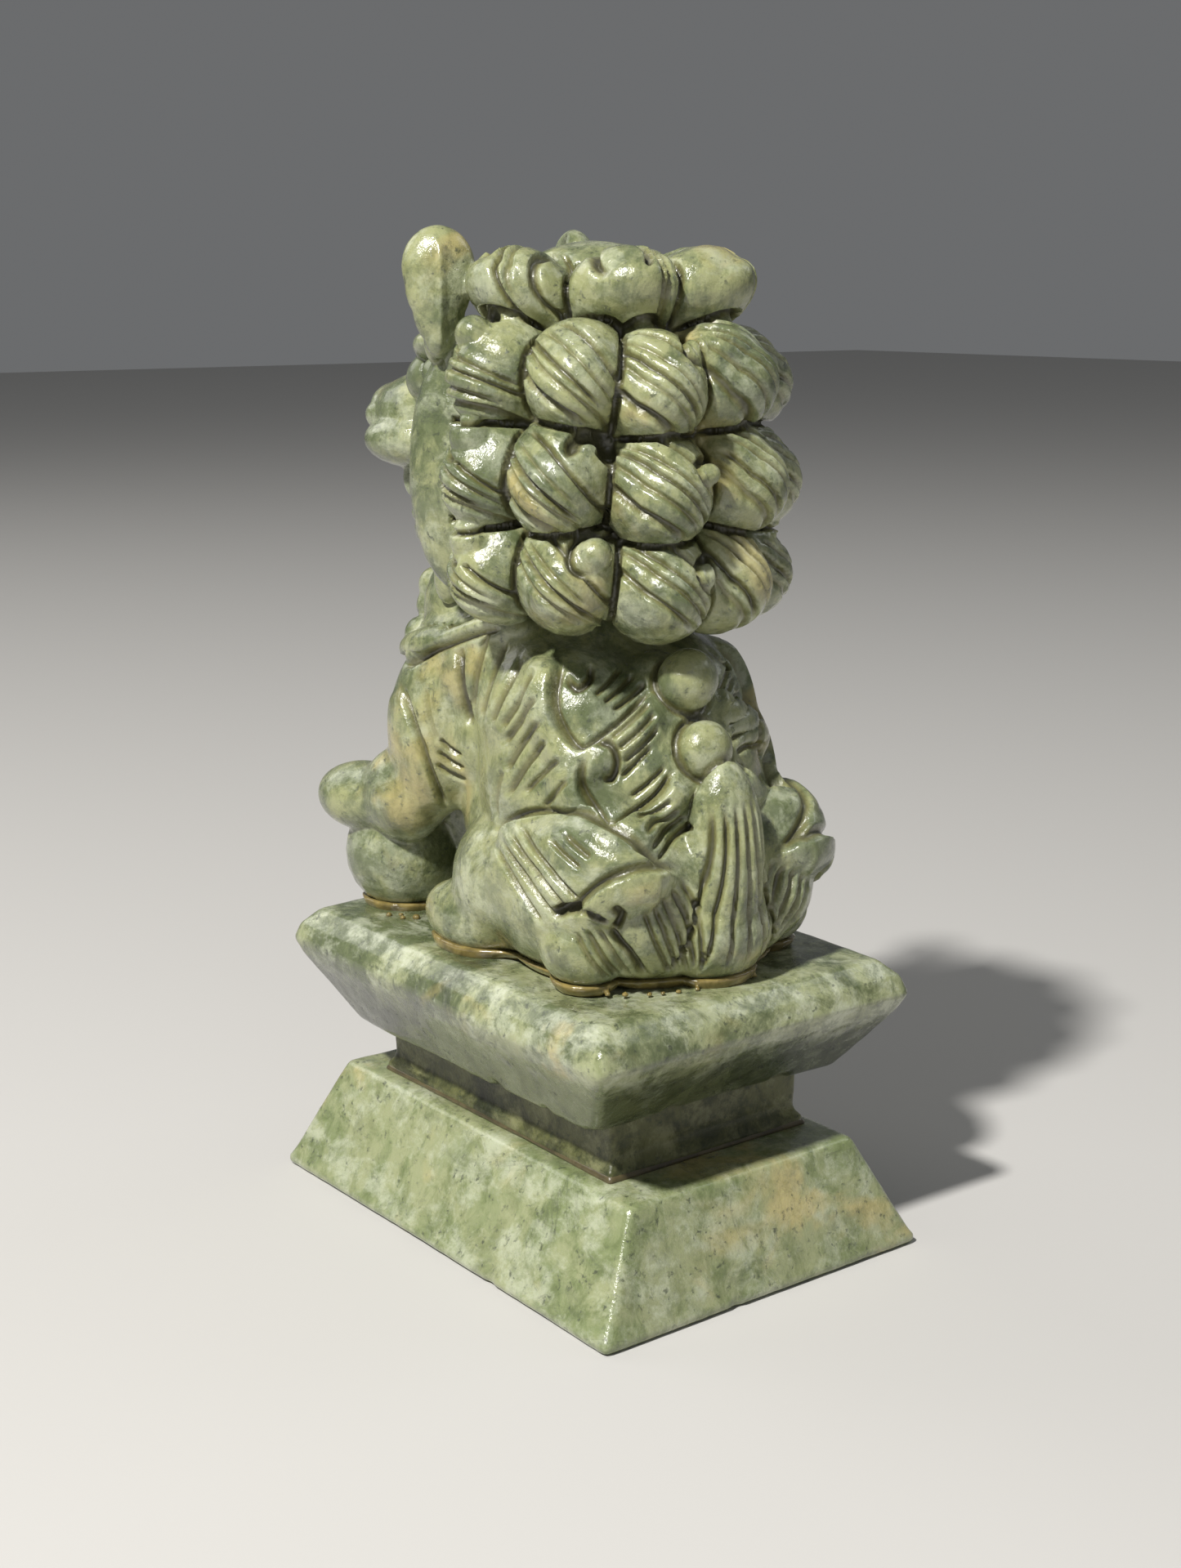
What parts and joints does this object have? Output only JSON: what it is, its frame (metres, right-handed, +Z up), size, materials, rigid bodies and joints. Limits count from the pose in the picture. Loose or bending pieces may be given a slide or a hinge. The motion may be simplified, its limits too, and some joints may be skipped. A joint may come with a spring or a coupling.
{
  "type": "carved stone guardian lion figurine",
  "caption": "Seated guardian lion carved in green stone, curled mane, paw on a ball, glued to a stepped pedestal of sloping slabs and a narrow waist.",
  "frame": {"origin": "centre of the pedestal's flat underside", "axes": "+Z up, the lion faces -Y, its left side is +X"},
  "size_m": [0.059, 0.084, 0.1472],
  "materials": {
    "lion_stone": "carved and wax polished mottled green serpentine",
    "pale_stone": "polished pale green serpentine with cloudy white and ochre patches",
    "dark_stone": "polished dark green serpentine",
    "glue": "clear amber glue with small bubbles"
  },
  "bodies": {
    "root": {"lower_slab": "pale_stone", "waist_block": "dark_stone", "upper_slab": "pale_stone", "lion_figure": "lion_stone", "foot_glue": "glue", "cap_glue": "glue", "ball_glue": "glue", "paw_glue": "glue", "haunch_glue": "glue"}
  },
  "joints": []
}
